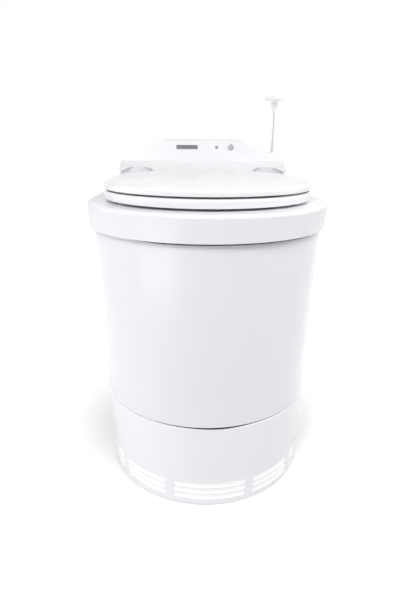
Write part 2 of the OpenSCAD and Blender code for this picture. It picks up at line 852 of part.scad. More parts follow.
// Toothed sector on a flap's shaft; its first tooth meets the rack level with the shaft
module gear_sector(side) {
  step = 360 / tooth_count;
  last = ceil(flap_swing / step) + 1;
  web_r = pitch_r - tooth_root;
  mirror([side > 0 ? 1 : 0, 0, 0]) translate([-flap_x, gear_y, flap_z]) rotate([90, 0, 0])
    translate([0, 0, -gear_t]) linear_extrude(gear_t) difference() {
      union() {
        circle(shaft_r + hub_wall);
        intersection() {
          circle(web_r);
          polygon([
            [0, 0],
            2 * web_r * [cos(-1.5 * step), sin(-1.5 * step)],
            3 * web_r * [cos(flap_swing / 2), sin(flap_swing / 2)],
            2 * web_r * [cos((last + 0.5) * step), sin((last + 0.5) * step)]
          ]);
        }
        for (i = [-1:last]) rotate(i * step) tooth(pitch_r, 23);
      }
      circle(shaft_r);
    }
}
module sector_left() { color("gray") at_axis() gear_sector(-1); }
module sector_right() { color("gray") at_axis() gear_sector(1); }

yoke_h = 12;
yoke_half = 8;
rack_rim = 9;
// Rack with teeth on both sides, under a yoke that the flush rod carries
module rack_frame() {
  teeth = ceil(rod_travel / tooth_pitch) + 1;
  root_x = rack_half_w - tooth_root;
  low = flap_z - 2 * tooth_pitch;
  color("gray") at_axis() difference() {
    union() {
      translate([0, gear_y + gear_t, 0]) rotate([90, 0, 0]) linear_extrude(gear_t)
        difference() {
          union() {
            translate([-root_x, low]) square([2 * root_x, yoke_z - low + yoke_h]);
            for (side = [0, 1], i = [-2:teeth]) mirror([side, 0])
              translate([0, flap_z + (i + 0.5) * tooth_pitch]) tooth(rack_half_w, 20);
          }
          translate([-root_x + rack_rim, low + rack_rim])
            square([2 * (root_x - rack_rim), yoke_z - low - 2 * rack_rim]);
        }
      translate([-root_x, gear_y, yoke_z]) cube([root_x + rod_x + yoke_half, gear_t, yoke_h]);
      translate([rod_x - yoke_half, gear_y, yoke_z])
        cube([2 * yoke_half, rod_y - gear_y + yoke_half, yoke_h]);
    }
    translate([rod_x, rod_y, yoke_z - cut]) cylinder(r = rod_r, h = yoke_h + 2 * cut);
  }
}

bracket_z = 330;
bracket_t = 8;
bracket_half = 10;
plate_in = 10;
plate_drop = 22;
plate_side = 16;
// Rear plate under the deck: bearings of the shafts and the rod's lower guide
module mechanism_plate() {
  y = gear_y - plate_in;
  low = flap_z - plate_drop;
  color("silver") at_axis() difference() {
    union() {
      translate([-flap_x - plate_side, y, low])
        cube([flap_x + plate_side + rod_x + bracket_half, plate_t, collar_under_z - low]);
      translate([rod_x - bracket_half, y, bracket_z])
        cube([2 * bracket_half, rod_y + bracket_half - y, bracket_t]);
    }
    for (side = [-1, 1]) translate([side * flap_x, y - cut, flap_z]) rotate([-90, 0, 0])
      cylinder(r = shaft_r + run_clear, h = plate_t + 2 * cut);
    translate([rod_x, rod_y, bracket_z - cut])
      cylinder(r = rod_r + run_clear, h = bracket_t + 2 * cut);
  }
}

bearing_side = 14;
bearing_over = 11;
// Front and rear bearing plates on the hood
module bearing_plates() {
  foot = chamber_top_z + chamber_plate;
  color("silver") at_axis() difference() {
    for (y = [-bearing_y - plate_t, bearing_y])
      translate([-flap_x - bearing_side, y, foot])
        cube([2 * (flap_x + bearing_side), plate_t, flap_z + bearing_over - foot]);
    for (side = [-1, 1]) translate([side * flap_x, -bearing_y - plate_t - cut, flap_z])
      rotate([-90, 0, 0])
        cylinder(r = shaft_r + run_clear, h = 2 * (bearing_y + plate_t + cut));
  }
}

rod_foot = 16;
rod_foot_z = bracket_z - rod_foot;
rod_in_knob = 10;
knob_h = 32;
knob_disc_t = 9;
knob_crown = 1.5;
neck_r = 4.5;
neck_top_r = 9.5;
// Chromed rod from the lower guide to the knob
module flush_rod() {
  color("silver") at_axis() translate([rod_x, rod_y, rod_foot_z])
    cylinder(r = rod_r, h = knob_top_z - rod_in_knob - rod_foot_z);
}

// Mushroom knob: a crowned disc with a round edge on a conical neck
module flush_knob() {
  z = knob_top_z;
  half = knob_disc_t / 2;
  edge_z = z - knob_crown - half;
  color("white") at_axis() translate([rod_x, rod_y, 0]) rotate_extrude() polygon(concat(
    [[rod_r, z - rod_in_knob], [rod_r, z - knob_h], [neck_r, z - knob_h], [neck_r + 0.4, z - knob_h + 4]],
    [[neck_top_r, edge_z - half - 1.5], [neck_top_r + 2, edge_z - half]],
    arc([knob_r - half, edge_z], half, -90, 90, 8),
    [for (i = [4:-1:0]) let(x = (knob_r - half - 2) * i / 4)
      [x, z - knob_crown * pow(x / (knob_r - half), 2)]],
    [[0, z - rod_in_knob]]
  ));
}

// Bush in the shoulder and deck that guides the rod, with a collar on the shoulder
module rod_bush() {
  flange = 2;
  flange_h = 2.5;
  color("white") at_axis() translate([rod_x, rod_y, 0]) difference() {
    union() {
      translate([0, 0, collar_top_z]) cylinder(r = bush_r, h = shoulder_z - collar_top_z);
      translate([0, 0, shoulder_z]) cylinder(r1 = bush_r + flange, r2 = bush_r + flange / 2, h = flange_h);
    }
    translate([0, 0, collar_top_z - cut]) cylinder(r = rod_r + run_clear, h = 200);
  }
}

// Clamp ring that holds the rod in the yoke
module rod_collar() {
  ring_h = 9;
  ring_wall = 5;
  color("gray") at_axis() translate([rod_x, rod_y, yoke_z + yoke_h]) difference() {
    cylinder(r = rod_r + ring_wall, h = ring_h);
    translate([0, 0, -cut]) cylinder(r = rod_r, h = ring_h + 2 * cut);
  }
}

// Return spring between the lower guide and the yoke
module rod_spring() {
  low = bracket_z + bracket_t;
  coil_gap = 2;
  wire = 2;
  color("silver") at_axis() translate([rod_x, rod_y, low]) difference() {
    cylinder(r = rod_r + coil_gap + wire, h = yoke_z - low);
    translate([0, 0, -cut]) cylinder(r = rod_r + coil_gap, h = yoke_z - low + 2 * cut);
  }
}

chamber_out = chamber_r + chamber_wall;
pipe_r = 30;
terminal_angle = -20;
// Round steel chamber with the flue hole and two holes for the element's ends
module chamber() {
  color("dimgray") at_axis() difference() {
    translate([0, 0, chamber_floor_z + chamber_plate]) cylinder(r = chamber_out, h = chamber_h);
    translate([0, 0, chamber_floor_z]) cylinder(r = chamber_r, h = chamber_h + 10);
    chamber_holes(0);
  }
}

module chamber_holes(extra) {
  translate([0, 60, exhaust_z]) rotate([-90, 0, 0]) cylinder(r = pipe_r + extra, h = 200);
  for (k = [0, 1]) translate([0, 0, element_z + k * element_step]) rotate([0, 0, terminal_angle])
    translate([60, 0, 0]) rotate([0, 90, 0]) cylinder(r = element_r + extra, h = 200);
}

module insulation() {
  color("khaki") at_axis() difference() {
    translate([0, 0, chamber_floor_z + chamber_plate])
      cylinder(r = chamber_out + insulation_t, h = chamber_h);
    translate([0, 0, chamber_floor_z]) cylinder(r = chamber_out + seat_clear, h = chamber_h + 10);
    chamber_holes(seat_clear);
  }
}

element_z = 184;
element_step = 22;
element_ring = 118;
clip_w = 6;
clip_h = 4;
terminal_out = 12;
floor_lip = 10;
floor_over = 2;
// Two heating rings with clips to the chamber's wall and straight ends through it
module heating_element() {
  color("sienna") at_axis() for (k = [0, 1])
    translate([0, 0, element_z + k * element_step]) {
      rotate_extrude() translate([element_ring, 0]) circle(element_r, $fn = 24);
      for (a = [60, 180, 300]) rotate([0, 0, a])
        translate([element_ring, -clip_w / 2, -clip_h / 2])
          cube([chamber_r - element_ring - 0.2, clip_w, clip_h]);
      rotate([0, 0, terminal_angle]) translate([element_ring, 0, 0]) rotate([0, 90, 0])
        cylinder(r = element_r - seat_clear, h = chamber_out + insulation_t + terminal_out - element_ring);
    }
}

module chamber_floor() {
  color("gray") at_axis() translate([0, 0, chamber_floor_z]) difference() {
    cylinder(r = chamber_out + insulation_t + floor_over, h = chamber_plate);
    translate([0, 0, -cut]) cylinder(r = chamber_r - floor_lip, h = chamber_plate + 2 * cut);
  }
}

module chamber_hood() {
  color("gray") at_axis() translate([0, 0, chamber_top_z]) difference() {
    cylinder(r = chamber_out + insulation_t, h = chamber_plate);
    translate([-hood_hole_x, -hood_hole_y, -cut])
      cube([2 * hood_hole_x, 2 * hood_hole_y, chamber_plate + 2 * cut]);
  }
}

frame_t = 2;
frame_gap = 4;
frame_half = 118;
frame_foot = 16;
runner_w = 12;
pan_back = 102;
pan_rim = 2;
pan_rim_h = 3;
// Two side frames with runners for the pan; they carry the chamber
module pan_frame() {
  x = pan_half_w + frame_gap;
  foot = base_z + base_t;
  color("silver") at_axis() for (side = [0, 1]) mirror([side, 0, 0]) {
    translate([x, -frame_half, foot]) cube([frame_t, 2 * frame_half, chamber_floor_z - foot]);
    translate([pan_half_w - runner_w, -frame_half, pan_z - seat_clear - frame_t])
      cube([runner_w + frame_gap, 2 * frame_half, frame_t]);
    translate([x, -frame_half, foot]) cube([frame_foot, 2 * frame_half, frame_t]);
  }
}

// Open steel pan for the ash, with a rolled rim
module ash_pan() {
  color("darkgray") at_axis() translate([0, pan_back - pan_l, pan_z]) difference() {
    union() {
      translate([-pan_half_w, 0, 0]) cube([2 * pan_half_w, pan_l, pan_h]);
      translate([-pan_half_w - pan_rim, 0, pan_h - pan_rim_h])
        cube([2 * (pan_half_w + pan_rim), pan_l, pan_rim_h]);
    }
    translate([-pan_half_w + pan_wall, pan_wall, pan_wall])
      cube([2 * (pan_half_w - pan_wall), pan_l - 2 * pan_wall, pan_h]);
  }
}

handle_w = 80;
handle_out = 22;
handle_r = 4;
// Bent bar handle on the pan's front
module pan_handle() {
  z = pan_z + pan_h * 0.55;
  y = pan_back - pan_l;
  color("silver") at_axis() {
    for (side = [-1, 1]) translate([side * (handle_w / 2 - handle_r), y, z]) rotate([90, 0, 0])
      cylinder(r = handle_r, h = handle_out - handle_r);
    translate([-handle_w / 2, y - handle_out + handle_r, z]) rotate([0, 90, 0])
      cylinder(r = handle_r, h = handle_w);
  }
}

can_r = 42;
can_front = 160;
can_back = 218;
can_slope = 6;
fan_front = 252;
// Turns a profile round the exhaust's axis; its x is the radius, its y runs to the rear
module round_exhaust() {
  translate([0, 0, exhaust_z]) rotate([-90, 0, 0]) rotate_extrude() children();
}

// Flue pipe from the chamber to the fan, widened round the catalyst
module exhaust_duct() {
  start = chamber_r;
  color("silver") at_axis() difference() {
    round_exhaust() polygon([
      [pipe_r - duct_wall, start - 10], [pipe_r, start - 10], [pipe_r, can_front],
      [can_r, can_front + can_slope], [can_r, can_back - can_slope], [pipe_r, can_back],
      [pipe_r, fan_front],
      [pipe_r - duct_wall, fan_front], [pipe_r - duct_wall, can_back],
      [can_r - duct_wall, can_back - can_slope - 1], [can_r - duct_wall, can_front + can_slope + 1],
      [pipe_r - duct_wall, can_front]
    ]);
    translate([0, 0, exhaust_z - 60]) cylinder(r = chamber_r, h = 120);
  }
}

block_end = 8;
channel_r = 3.2;
channel_step = 10.5;
// Drilled ceramic block in the widened part
module catalyst() {
  l = can_back - can_front - 2 * block_end;
  color("tan") at_axis() difference() {
    round_exhaust() translate([0, can_front + block_end]) square([can_r - duct_wall - seat_clear, l]);
    translate([0, can_front, exhaust_z]) rotate([-90, 0, 0]) {
      for (ring = [1, 2, 3], a = [0:60 / ring:359])
        rotate([0, 0, a]) translate([ring * channel_step, 0, 0])
          cylinder(r = channel_r, h = 100, $fn = 24);
      cylinder(r = channel_r, h = 100, $fn = 24);
    }
  }
}

casing_r = spigot_r - 1;
casing_in = casing_r - duct_wall;
casing_back = 328;
spigot_start = body_rear(exhaust_z + spigot_r) + seat_clear;
// Fan casing with a front wall round the flue pipe
module fan_casing() {
  color("silver") at_axis() round_exhaust() polygon([
    [pipe_r, fan_front - 6], [pipe_r + 3, fan_front - 6], [pipe_r + 3, fan_front - duct_wall],
    [casing_r, fan_front - duct_wall], [casing_r, casing_back],
    [casing_in, casing_back], [casing_in, fan_front], [pipe_r, fan_front]
  ]);
}

// Spigot behind the casing; its step rests on the rear wall
module exhaust_spigot() {
  color("silver") at_axis() round_exhaust() polygon([
    [casing_in, casing_back], [casing_r, casing_back], [casing_r, spigot_start],
    [spigot_r, spigot_start], [spigot_r, plan_back - 1], [spigot_r - 1, plan_back],
    [casing_in, plan_back]
  ]);
}

motor_r = 22;
motor_front = 286;
motor_l = 36;
fan_shaft_r = 3;
fan_shaft_l = 24;
strut_at = 8;
strut_w = 4;
strut_l = 16;
// Motor on four struts in the casing, with its shaft to the front
module fan_motor() {
  color("dimgray") at_axis() {
    translate([0, motor_front, exhaust_z]) rotate([-90, 0, 0]) cylinder(r = motor_r, h = motor_l);
    translate([0, motor_front - fan_shaft_l, exhaust_z]) rotate([-90, 0, 0])
      cylinder(r = fan_shaft_r, h = fan_shaft_l);
    translate([0, motor_front + strut_at, exhaust_z]) rotate([-90, 0, 0])
      for (a = [45:90:359]) rotate([0, 0, a])
        translate([motor_r - 1, -strut_w / 2, 0])
          cube([casing_in - motor_r + 1 - seat_clear, strut_w, strut_l]);
  }
}

blade_l = 16;
blade_t = 2;
blade_pitch = 35;
hub_r = 13;
// Impeller: hub and pitched blades
module impeller() {
  color("black") at_axis() translate([0, motor_front - fan_shaft_l + 2, exhaust_z])
    rotate([-90, 0, 0]) difference() {
      union() {
        cylinder(r = hub_r, h = blade_l);
        for (a = [0:360 / blade_count:359]) rotate([0, 0, a])
          translate([hub_r - 2, 0, blade_l / 2]) rotate([blade_pitch, 0, 0])
            translate([0, -blade_t / 2, -blade_l / 2])
              cube([impeller_r - hub_r + 1.5, blade_t, blade_l]);
      }
      translate([0, 0, -cut]) cylinder(r = fan_shaft_r + run_clear, h = blade_l + 2 * cut);
    }
}

function body_rear(z) = body_back - (body_top_r - shell_r(z));
// Round mains inlet with a flange on the rear wall
module mains_inlet() {
  flange = 4;
  flange_t = 3;
  plug_l = 22;
  socket_wall = 3;
  socket_l = 14;
  color("black") at_axis() translate([inlet_x, body_rear(inlet_z + inlet_r + flange), inlet_z])
    rotate([-90, 0, 0]) difference() {
      union() {
        cylinder(r = inlet_r + flange, h = flange_t);
        translate([0, 0, -plug_l]) cylinder(r = inlet_r, h = plug_l + 2);
      }
      translate([0, 0, -socket_l]) cylinder(r = inlet_r - socket_wall, h = 2 * socket_l);
    }
}

screw_step = 80;
screw_up = 24;
screw_r = 4;
screw_h = 2.4;
// Screws of the console's rear face, with cross slots
module rear_screws() {
  crown = 6.6;
  slot = 0.75 * screw_r;
  color("silver") at_axis() for (k = [-1.5:1:1.5])
    translate([k * screw_step, console_back, collar_top_z + screw_up]) rotate([-90, 0, 0])
      difference() {
        intersection() {
          cylinder(r = screw_r, h = screw_h);
          translate([0, 0, screw_h - crown]) sphere(r = crown);
        }
        translate([-slot, -0.5, screw_h - 1]) cube([2 * slot, 1, 2]);
        translate([-0.5, -slot, screw_h - 1]) cube([1, 2 * slot, 2]);
      }
}

outer_shell();
base_plate();
rubber_feet();
front_cover();
grille_screen();
top_cover();
console();
panel_bezel();
display_window();
lamp_lens();
start_button();
button_spring();
control_board();
seat_ring();
lid();
hinge_pins();
hinge_posts();
seat_bumpers();
lid_bumpers();
bowl();
flap_left();
flap_right();
shaft_left();
shaft_right();
sector_left();
sector_right();
bearing_plates();
mechanism_plate();
rack_frame();
flush_rod();
flush_knob();
rod_bush();
rod_collar();
rod_spring();
chamber();
insulation();
chamber_floor();
chamber_hood();
heating_element();
pan_frame();
ash_pan();
pan_handle();
exhaust_duct();
catalyst();
fan_motor();
impeller();
fan_casing();
exhaust_spigot();
mains_inlet();
rear_screws();
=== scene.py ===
"""Looks of the incinerating toilet: materials, coil springs, painted shadow strips, floor, lamps and camera.
"""
import json
import math

import bmesh
import bpy
from mathutils import Matrix, Vector


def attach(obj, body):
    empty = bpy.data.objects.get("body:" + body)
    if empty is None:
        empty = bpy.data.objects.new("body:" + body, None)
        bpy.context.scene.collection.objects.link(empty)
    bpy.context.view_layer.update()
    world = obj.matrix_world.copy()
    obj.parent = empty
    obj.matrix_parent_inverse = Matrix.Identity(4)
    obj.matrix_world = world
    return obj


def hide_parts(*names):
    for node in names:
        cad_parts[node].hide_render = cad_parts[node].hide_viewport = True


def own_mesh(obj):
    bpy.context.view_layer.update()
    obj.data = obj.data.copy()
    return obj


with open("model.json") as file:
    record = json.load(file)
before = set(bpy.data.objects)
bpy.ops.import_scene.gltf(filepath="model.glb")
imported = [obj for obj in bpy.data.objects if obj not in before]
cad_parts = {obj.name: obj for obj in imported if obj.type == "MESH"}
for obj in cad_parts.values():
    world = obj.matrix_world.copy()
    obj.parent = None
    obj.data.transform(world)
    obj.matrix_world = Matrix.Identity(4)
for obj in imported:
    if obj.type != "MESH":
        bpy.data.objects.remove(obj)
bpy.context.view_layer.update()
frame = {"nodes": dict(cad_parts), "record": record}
nodes = frame["nodes"]

# Places and sizes of the part that the pieces made here follow, in metres
AXIS_Y = -0.08319                             # axis of the round front
ROD = (0.167, AXIS_Y + 0.308)                 # axis of the push rod, x and y
SPRING_LOW, SPRING_TOP = 0.338, 0.440         # foot and top of the rod's spring
LEAN = math.radians(24)                       # lean of the control panel, back from upright
PANEL_FOOT = Vector((0, AXIS_Y + 0.288, 0.573))
PANEL_RISE = 0.048                            # height of the panel
BUTTON_ROW = 0.62                             # share of the panel's height where its button sits
BUTTON_X = 0.068
BOARD_DEPTH, BUTTON_COLLAR_DEPTH = 0.009, 0.0048    # under the panel: foot and top of the button's spring


# Materials
class Graph:
    """Short names for building one material's nodes."""

    def __init__(self, name):
        self.mat = bpy.data.materials.new(name)
        self.mat.use_nodes = True
        self.tree = self.mat.node_tree
        self.shader = self.tree.nodes["Principled BSDF"]
        self.coord = self.tree.nodes.new("ShaderNodeTexCoord").outputs["Object"]

    def add(self, kind, **values):
        node = self.tree.nodes.new("ShaderNode" + kind)
        for key, value in values.items():
            node.inputs[key.replace("_", " ")].default_value = value
        return node

    def link(self, source, target):
        self.tree.links.new(source, target)

    def noise(self, scale, detail=3.0, rough=0.55, stretch=None):
        node = self.add("TexNoise", Scale=scale, Detail=detail, Roughness=rough)
        source = self.coord
        if stretch:
            mapping = self.add("Mapping", Scale=stretch)
            self.link(self.coord, mapping.inputs["Vector"])
            source = mapping.outputs["Vector"]
        self.link(source, node.inputs["Vector"])
        return node.outputs[0]

    def colour(self, value, stops):
        """Base colour from a value, through (place, colour) stops."""
        node = self.add("ValToRGB")
        ends = node.color_ramp.elements
        while len(ends) < len(stops):
            ends.new(0.5)
        for end, (place, colour) in zip(ends, stops):
            end.position = place
            end.color = (*colour, 1.0)
        self.link(value, node.inputs["Fac"])
        self.link(node.outputs["Color"], self.shader.inputs["Base Color"])

    def roughness(self, value, low, high, start=0.3, stop=0.7):
        """Roughness from low to high while the value goes from start to stop."""
        node = self.add("MapRange", From_Min=start, From_Max=stop, To_Min=low, To_Max=high)
        self.link(value, node.inputs["Value"])
        self.link(node.outputs["Result"], self.shader.inputs["Roughness"])

    def bump(self, height, strength, distance):
        node = self.add("Bump", Strength=strength, Distance=distance)
        self.link(height, node.inputs["Height"])
        self.link(node.outputs["Normal"], self.shader.inputs["Normal"])

    def set(self, **values):
        for key, value in values.items():
            self.shader.inputs[key.replace("_", " ")].default_value = value


def shade(colour, factor):
    return tuple(min(1.0, part * factor) for part in colour)


def moulding(name, colour, rough, coat=0.0, shine=0.5, glow=0.0):
    """Moulded plastic: faint cloudiness in colour and gloss, and a slow slight ripple."""
    graph = Graph(name)
    cloud = graph.noise(scale=9.0)
    ripple = graph.noise(scale=34.0, detail=1.0)
    graph.colour(cloud, [(0.05, shade(colour, 0.987)), (0.95, shade(colour, 1.012))])
    graph.roughness(cloud, rough * 0.9, rough * 1.1, start=0.05, stop=0.95)
    graph.bump(ripple, strength=0.02, distance=0.0003)
    graph.set(IOR=1.48, Coat_Weight=coat, Coat_Roughness=0.06, Specular_IOR_Level=shine)
    if glow:
        graph.set(Emission_Color=(1, 1, 1, 1), Emission_Strength=glow)
    return graph.mat


def sheet_steel(name, colour, rough, along, tint=None):
    """Brushed or rolled sheet: streaks along one way, or heat tint in blotches."""
    graph = Graph(name)
    streak = graph.noise(scale=16.0, detail=6.0, rough=0.65, stretch=along)
    if tint:
        blotch = graph.noise(scale=22.0)
        graph.colour(blotch, [(0.22, tint), (0.5, colour), (0.78, shade(colour, 1.12))])
    else:
        graph.colour(streak, [(0.25, shade(colour, 0.86)), (0.75, shade(colour, 1.08))])
    graph.roughness(streak, rough * 0.75, rough * 1.35)
    graph.bump(streak, strength=0.12, distance=0.0003)
    graph.set(Metallic=1.0)
    return graph.mat


def matt(name, colour, rough, grain, depth, spread):
    """Matt plastic, rubber or wool: speckle in colour and height."""
    graph = Graph(name)
    speck = graph.noise(scale=grain, detail=4.0, rough=0.6)
    graph.colour(speck, [(0.3, shade(colour, 1 - spread)), (0.7, shade(colour, 1 + spread))])
    graph.roughness(speck, rough * 0.9, min(1.0, rough * 1.1))
    graph.bump(speck, strength=depth, distance=0.0006)
    return graph.mat


def chrome(name, colour):
    """Bright plating with a faint film."""
    graph = Graph(name)
    film = graph.noise(scale=90.0)
    graph.colour(film, [(0.3, shade(colour, 0.96)), (0.7, colour)])
    graph.roughness(film, 0.10, 0.16)
    graph.set(Metallic=1.0)
    return graph.mat


def dark_window(name, colour, rough=0.12):
    """Smoked glossy window, slightly uneven in tone."""
    graph = Graph(name)
    cloud = graph.noise(scale=60.0, detail=2.0)
    graph.colour(cloud, [(0.3, shade(colour, 0.9)), (0.7, shade(colour, 1.1))])
    graph.roughness(cloud, rough * 0.8, rough * 1.3)
    graph.set(IOR=1.5, Coat_Weight=0.5, Coat_Roughness=0.04)
    return graph.mat


# Looks by slot, and two more: for the front cover a paler copy of the body's white, painted light that
# stands in for more light on the lower front, and a dark one for the painted shadow strips. Along is the
# streaks' noise scale on x, y and z. Nearly half of the knob's white is a glow of its own, painted light, as
# its few pixels render mottled without.
looks = {
    "body_gloss": moulding("body_white", (0.903, 0.91, 0.94), 0.24, shine=0.4),
    # paler copy of the body's white: painted light on the front cover
    "cover_gloss": moulding("cover_white_painted_light", (0.955, 0.96, 0.988), 0.24, shine=0.4),
    "collar_gloss": moulding("collar_white", (0.938, 0.943, 0.973), 0.24, shine=0.3),
    "console_gloss": moulding("console_white", (0.912, 0.917, 0.935), 0.22, shine=0.2),
    # a shade lighter than the body's white: painted light, making up for less light on the lid's top
    "seat_gloss": moulding("seat_white", (0.938, 0.942, 0.96), 0.22, shine=0.4),
    # the knob glows a little: painted light
    "knob_gloss": moulding("knob_white", (0.50, 0.504, 0.515), 0.36, shine=0.2, glow=0.42),
    "grey_gloss": moulding("panel_grey", (0.44, 0.45, 0.475), 0.30),
    # the slots' screen glows a little: painted light that lifts the shade in the slots' recess to white
    "screen_white": moulding("screen_white", (0.90, 0.905, 0.91), 0.6, glow=0.22),
    "white_rubber": matt("pad_white", (0.80, 0.80, 0.80), 0.7, grain=500.0, depth=0.2, spread=0.03),
    "black_rubber": matt("foot_black", (0.030, 0.030, 0.032), 0.8, grain=350.0, depth=0.4, spread=0.25),
    "steel_sheet": sheet_steel("zinc_sheet", (0.56, 0.57, 0.59), 0.38, along=(3, 60, 3)),
    "bowl_steel": sheet_steel("stainless", (0.66, 0.665, 0.67), 0.22, along=(60, 60, 2)),
    "hot_steel": sheet_steel("heat_tinted_steel", (0.36, 0.31, 0.27), 0.42, along=(2, 2, 50),
                             tint=(0.17, 0.13, 0.16)),
    "element_steel": sheet_steel("element_tube", (0.20, 0.165, 0.145), 0.55, along=(30, 30, 30)),
    "gear_steel": sheet_steel("gear_steel", (0.42, 0.43, 0.45), 0.34, along=(20, 2, 20)),
    "pin_steel": sheet_steel("turned_steel", (0.58, 0.585, 0.60), 0.24, along=(60, 2, 60)),
    "spring_steel": sheet_steel("spring_wire", (0.48, 0.485, 0.50), 0.3, along=(20, 20, 20)),
    "rod_chrome": chrome("rod_chrome", (0.60, 0.605, 0.63)),
    "display_glass": dark_window("display_window", (0.185, 0.192, 0.235)),
    "lamp_glass": moulding("lamp_lens", (0.31, 0.32, 0.345), 0.14, coat=0.5),
    "board_green": matt("circuit_board", (0.02, 0.11, 0.045), 0.45, grain=120.0, depth=0.2, spread=0.4),
    "insulation_wool": matt("ceramic_wool", (0.70, 0.66, 0.54), 0.95, grain=140.0, depth=0.9, spread=0.12),
    "catalyst_stone": matt("catalyst_block", (0.55, 0.45, 0.34), 0.9, grain=260.0, depth=0.6, spread=0.15),
    "motor_black": matt("motor_black", (0.035, 0.036, 0.04), 0.45, grain=420.0, depth=0.3, spread=0.2),
    "impeller_black": matt("impeller_black", (0.03, 0.031, 0.034), 0.5, grain=300.0, depth=0.2, spread=0.2),
    "spigot_grey": sheet_steel("spigot_zinc", (0.58, 0.59, 0.61), 0.36, along=(3, 3, 60)),
    # dark look of the painted shadow strips at the seams
    "painted_shadow_dark": matt("painted_shadow_dark", (0.055, 0.055, 0.06), 0.6, grain=500.0, depth=0.1, spread=0.1),
    "inlet_black": matt("inlet_black", (0.022, 0.022, 0.024), 0.5, grain=500.0, depth=0.2, spread=0.2),
}

# The frame's nodes take their slot's look, but the front cover gets a paler copy of the body's white:
# painted light for the lower front
slot_of = {part["node"]: part["material_slot"] for part in frame["record"]["subparts"]}
look_of = dict(slot_of, front_cover="cover_gloss")
for name, node in nodes.items():
    look = looks[look_of[name]]
    worn = node.data.materials
    if len(worn):
        for k in range(len(worn)):
            worn[k] = look
    else:
        worn.append(look)


# Mesh helpers
def mesh_piece(name, bm, material, smooth=True):
    mesh = bpy.data.meshes.new(name)
    bm.normal_update()
    bm.to_mesh(mesh)
    bm.free()
    for face in mesh.polygons:
        face.use_smooth = smooth
    mesh.materials.append(material)
    piece = bpy.data.objects.new(name, mesh)
    bpy.context.scene.collection.objects.link(piece)
    return piece


def skinned(rings):
    """Closed surface through rings of points, capped at both ends."""
    bm = bmesh.new()
    rows = [[bm.verts.new(point) for point in ring] for ring in rings]
    count = len(rows[0])
    for one, two in zip(rows, rows[1:]):
        for i in range(count):
            j = (i + 1) % count
            bm.faces.new((one[i], one[j], two[j], two[i]))
    bm.faces.new(list(reversed(rows[0])))
    bm.faces.new(rows[-1])
    bmesh.ops.recalc_face_normals(bm, faces=bm.faces)
    return bm


def wire_along(points, radius, sides=12):
    """Rings of a round wire along points."""
    angles = [2 * math.pi * i / sides for i in range(sides)]
    last = len(points) - 1
    rings = []
    for k, here in enumerate(points):
        ahead = points[min(k + 1, last)] - points[max(k - 1, 0)]
        ahead.normalize()
        side = ahead.cross(Vector((0, 0, 1))).normalized()
        up = side.cross(ahead)
        rings.append([here + radius * (math.cos(a) * side + math.sin(a) * up) for a in angles])
    return rings


def coil_points(turns, radius, low, high, flat=1.0, steps=28):
    """Points of a coil along z from low to high, whose first and last turns lie almost flat."""
    lift = 0.5 * (high - low) / (turns + 4)        # what an end turn climbs
    points = []
    for k in range(int(turns * steps) + 1):
        turn = k / steps
        if turn < flat:
            z = low + lift * turn / flat
        elif turn > turns - flat:
            z = high - lift * (turns - turn) / flat
        else:
            z = low + lift + (high - low - 2 * lift) * (turn - flat) / (turns - 2 * flat)
        angle = 2 * math.pi * turn
        points.append(Vector((radius * math.cos(angle), radius * math.sin(angle), z)))
    return points


# The push rod's return spring
SPRING_TURNS = 11
SPRING_RADIUS = 0.006
SPRING_WIRE = 0.00085
rod_foot = Vector((ROD[0], ROD[1], 0))
points = [rod_foot + point for point in
          coil_points(SPRING_TURNS, SPRING_RADIUS, SPRING_LOW + SPRING_WIRE, SPRING_TOP - SPRING_WIRE)]
spring = mesh_piece("rod_coil", skinned(wire_along(points, SPRING_WIRE)), looks["spring_steel"])
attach(spring, "body")
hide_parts("rod_spring")
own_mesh(spring)

# The button's spring: a coil square to the panel, from the circuit board to the button's collar
SMALL_TURNS = 4.5
SMALL_RADIUS = 0.0045
SMALL_WIRE = 0.00035
normal = Vector((0, -math.cos(LEAN), math.sin(LEAN)))
slope = Vector((0, math.sin(LEAN), math.cos(LEAN)))
across = Vector((1, 0, 0))
base = PANEL_FOOT + BUTTON_ROW * PANEL_RISE / math.cos(LEAN) * slope + BUTTON_X * across
points = [base + point.x * across + point.y * slope + point.z * normal for point in
          coil_points(SMALL_TURNS, SMALL_RADIUS, -BOARD_DEPTH + SMALL_WIRE,
                      -BUTTON_COLLAR_DEPTH - SMALL_WIRE, flat=0.8, steps=24)]
small = mesh_piece("button_coil", skinned(wire_along(points, SMALL_WIRE, sides=8)), looks["spring_steel"])
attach(small, "body")
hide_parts("button_spring")
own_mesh(small)

# Painted shadow at the two seams of the round front: dark strips where there is only shade, in millimetres
# and degrees round its axis
MM = 0.001                                  # a millimetre in the scene's metres
PAINTED_SHADOW_STEPS = 72
COVER_SHADOW_ENDS = (-32, 1, 7, 38)           # first, full from, full to, last
COLLAR_SHADOW_ENDS = (-50, -22, 50, 66)
EDGE_R, EDGE_Z, EDGE_ROUND = 190.15, 160.0, 3.0     # centre and radius of the cover's rounded edge
SKIN_SUNK = 0.2                             # how deep the skin's inner side lies in the cover
SKIN_END_SUNK = 0.1                         # how deep its outer side lies there at both ends
SKIN_RISE = 0.45                            # how far the outer side comes out between the ends
SKIN_EAGER = 4                              # it is fully out once a quarter of the fade is done
SKIN_ARC = 55                               # how far down the edge it reaches, in degrees
SKIN_STEPS = 8
SKIN_LAP = 0.8                              # how far it goes in over the cover's top
SHELL_R = 200.55                            # radius of the shell under the collar
COLLAR_FOOT = 476.0                         # height of the collar's lower edge
BAND_TOP = COLLAR_FOOT + 1.5                # the band's top, hidden behind the collar
BAND_DROP = 0.6                             # how far it hangs below the collar at both ends
BAND_MORE_DROP = 2.9                        # how much further in the middle
BAND_SUNK = 0.3                             # how deep its inner side lies in the shell
BAND_PROUD = 0.55                           # how far its outer side stands out in the middle
